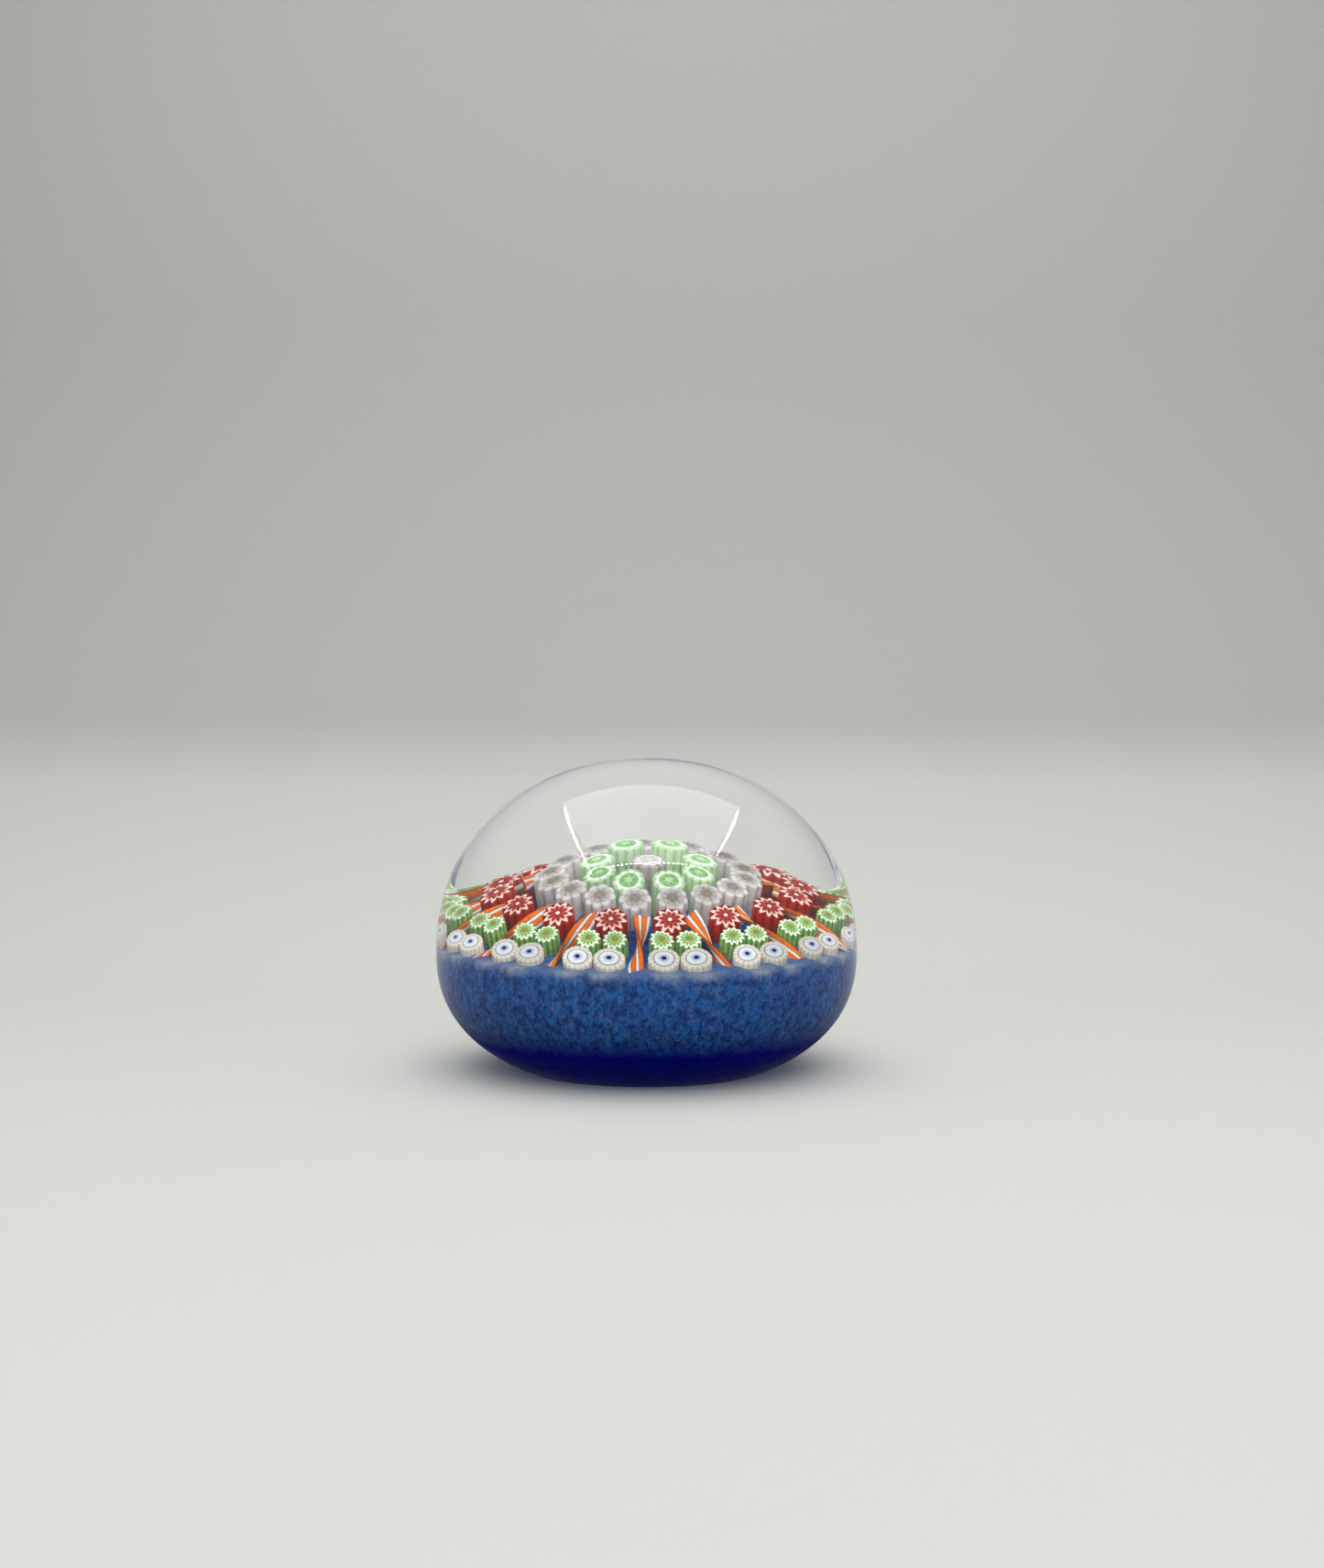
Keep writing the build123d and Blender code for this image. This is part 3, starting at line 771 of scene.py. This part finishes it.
build_canes("centre_pips", "centre_jackets", 96, [
    ("centre_cane_jackets", "centre_jackets", lobes(12, 1.0, 0.95), "pale_green_glass", pale_green),
    ("centre_cane_rings", "centre_rings", lobes(10, 0.84, 0.76), "white_glass", bright_white),
    ("centre_cane_fields", "centre_fields", circle(0.60), "mid_green_glass", mid_green),
    ("centre_cane_pips", "centre_pips", lobes(6, 0.28, 0.22), "pale_green_glass", pale_green),
])
build_canes("hub_heart", "hub_jacket", 96, [
    ("hub_cane_jacket", "hub_jacket", lobes(10, 1.0, 0.95), "pale_lavender_glass", pale_lavender),
    ("hub_cane_ring", "hub_ring", lobes(10, 0.78, 0.70), "white_glass", white),
    ("hub_cane_heart", "hub_heart", lobes(6, 0.50, 0.42), "pale_lavender_glass", lavender),
])
build_ribbons("ribbons_orange", (1, 3), "orange_glass", "orange_ribbons", orange)
build_ribbons("ribbons_white", (0, 2), "white_glass", "white_ribbons", ribbon_white)
build_sleeves(clear_glass("rod_crystal", (0.97, 0.98, 0.99, 1), 1.012))
build_rod_ends(cane_material("amber_glass", rgb(198, 92, 26), rgb(70, 28, 8), soft=0.0))


# ---------------------------------------------------------------- stage, light and camera

FLOOR_BACK = 0.09
SWEEP_RADIUS = 0.20
SWEEP_HALF_WIDTH = 2.5
WALL_TOP = 1.2
CEILING = 0.4
LAMP_PERIOD = 0.017
LAMP_HALF_WIDTH = 0.0035
LAMP_GLOW = 90.0
LAMP_GAP_GLOW = 1.5
SURROUND = 0.55
OVERHEAD = 1.3


def backdrop_material():
    """Pale matte paper, with painted shade darkening it up the sweep where less light reaches the wall."""
    graph = Graph("pale_paper")
    fibre = graph.fit(graph.noise(0.004, 4.0), 0.3, 0.7, -0.01, 0.01)
    height = graph.node("SeparateXYZ", {0: graph.place}).outputs["Z"]
    # Painted shade: the paper colour darkens with height
    rise = graph.math("ADD", graph.fit(height, 0.0, 0.05), fibre)
    colour = graph.mix(rise, rgb(206, 207, 203), rgb(190, 191, 187))
    colour = graph.mix(graph.fit(height, 0.047, 0.066), colour, rgb(171, 172, 168))
    inputs = {"Base Color": colour, "Roughness": 0.9, "Specular IOR Level": 0.1}
    return graph.finish(graph.node("BsdfPrincipled", inputs).outputs[0])


def build_sweep():
    """Floor that curves up behind the weight."""
    outline = [(-SWEEP_HALF_WIDTH, 0.0), (-1.0, 0.0), (0.0, 0.0), (FLOOR_BACK, 0.0)]
    for k in range(1, 13):
        turn = math.pi / 2 * k / 12
        outline.append((FLOOR_BACK + SWEEP_RADIUS * math.sin(turn), SWEEP_RADIUS * (1 - math.cos(turn))))
    outline.append((FLOOR_BACK + SWEEP_RADIUS, WALL_TOP))
    verts = [(side * SWEEP_HALF_WIDTH, y, z) for y, z in outline for side in (-1, 1)]
    faces = [(2 * k, 2 * k + 1, 2 * k + 3, 2 * k + 2) for k in range(len(outline) - 1)]
    sweep = new_object("sweep", verts, faces, backdrop_material(), closed=False)
    sweep.visible_glossy = False


def area_light(name, place, target, size, power, size_y=None):
    light = bpy.data.lights.new(name, "AREA")
    light.shape = "RECTANGLE"
    light.size = size
    light.size_y = size_y or size
    light.energy = power
    obj = bpy.data.objects.new(name, light)
    obj.location = place
    obj.rotation_euler = (Vector(target) - Vector(place)).to_track_quat("-Z", "Y").to_euler()
    bpy.context.scene.collection.objects.link(obj)
    return obj


def led_material():
    """Row of small bright lamps."""
    graph = Graph("lamp_row")
    along = graph.node("SeparateXYZ", {0: graph.place}).outputs["X"]
    turns = graph.math("MULTIPLY", along, 2 * math.pi / LAMP_PERIOD)
    wave = graph.node("Math", {0: turns}, operation="SINE").outputs[0]
    glow = graph.fit(wave, 0.0, 0.5, LAMP_GAP_GLOW, LAMP_GLOW)
    return graph.finish(graph.node("Emission", {"Strength": glow}).outputs[0])


def led_strip(name, start, end, material):
    """Thin lamp row between two points on the ceiling."""
    start, end = Vector(start), Vector(end)
    half = (end - start).length / 2
    corners = ((-1, -1), (1, -1), (1, 1), (-1, 1))
    verts = [(x * half, y * LAMP_HALF_WIDTH, 0) for x, y in corners]
    strip = new_object(name, verts, [(0, 1, 2, 3)], material, smooth=False, closed=False)
    strip.location = (start + end) / 2
    strip.rotation_euler = (end - start).to_track_quat("X", "Z").to_euler()
    strip.visible_diffuse = False
    strip.visible_shadow = False


def studio_world():
    """Even pale surroundings, brighter overhead where the glass mirrors them."""
    world = bpy.data.worlds.new("studio")
    world.use_nodes = True
    tree = world.node_tree
    background = tree.nodes["Background"]
    background.inputs["Color"].default_value = (1.0, 1.0, 0.985, 1)
    way = tree.nodes.new("ShaderNodeSeparateXYZ")
    tree.links.new(tree.nodes.new("ShaderNodeTexCoord").outputs["Generated"], way.inputs[0])
    haze = tree.nodes.new("ShaderNodeMapRange")
    tree.links.new(way.outputs["Z"], haze.inputs[0])
    for index, value in enumerate((0.25, 0.6, SURROUND, OVERHEAD), 1):
        haze.inputs[index].default_value = value
    choice = tree.nodes.new("ShaderNodeMix")
    tree.links.new(tree.nodes.new("ShaderNodeLightPath").outputs["Is Glossy Ray"], choice.inputs[0])
    choice.inputs[2].default_value = SURROUND
    tree.links.new(haze.outputs[0], choice.inputs[3])
    tree.links.new(choice.outputs[0], background.inputs["Strength"])
    return world


build_sweep()
lamps = led_material()
led_strip("lamps_left", (-0.228, -0.300, CEILING), (-0.192, 0.165, CEILING), lamps)
led_strip("lamps_right", (0.240, -0.150, CEILING), (0.222, 0.165, CEILING), lamps)
led_strip("lamps_front", (-0.155, -0.270, CEILING), (0.170, -0.250, CEILING), lamps)
area_light("ceiling", (0.016, -0.02, CEILING + 0.01), (0.016, -0.02, 0), 0.43, 0.98, 0.47)
front = area_light("front_fill", (0.05, -0.55, 0.42), (0, 0, 0.02), 0.6, 2.2)
front.visible_glossy = False
front.visible_transmission = False

bpy.context.scene.world = studio_world()
bpy.context.scene.view_settings.view_transform = "Standard"

CAMERA_DISTANCE = 0.300
CAMERA_ELEVATION = math.radians(4.5)
CAMERA_TARGET = Vector((0, 0, 0.025))
PITCH_UP = math.radians(4.28)
YAW = math.radians(-0.49)
LENS = 41.04

camera_data = bpy.data.cameras.new("camera")
camera_data.lens = LENS
camera_data.sensor_width = 36
camera_data.clip_start = 0.01
camera = bpy.data.objects.new("camera", camera_data)
view = Vector((0, -math.cos(CAMERA_ELEVATION), math.sin(CAMERA_ELEVATION)))
camera.location = CAMERA_TARGET + view * CAMERA_DISTANCE
camera.rotation_euler = (math.pi / 2 - CAMERA_ELEVATION + PITCH_UP, 0, YAW)
bpy.context.scene.collection.objects.link(camera)
bpy.context.scene.camera = camera
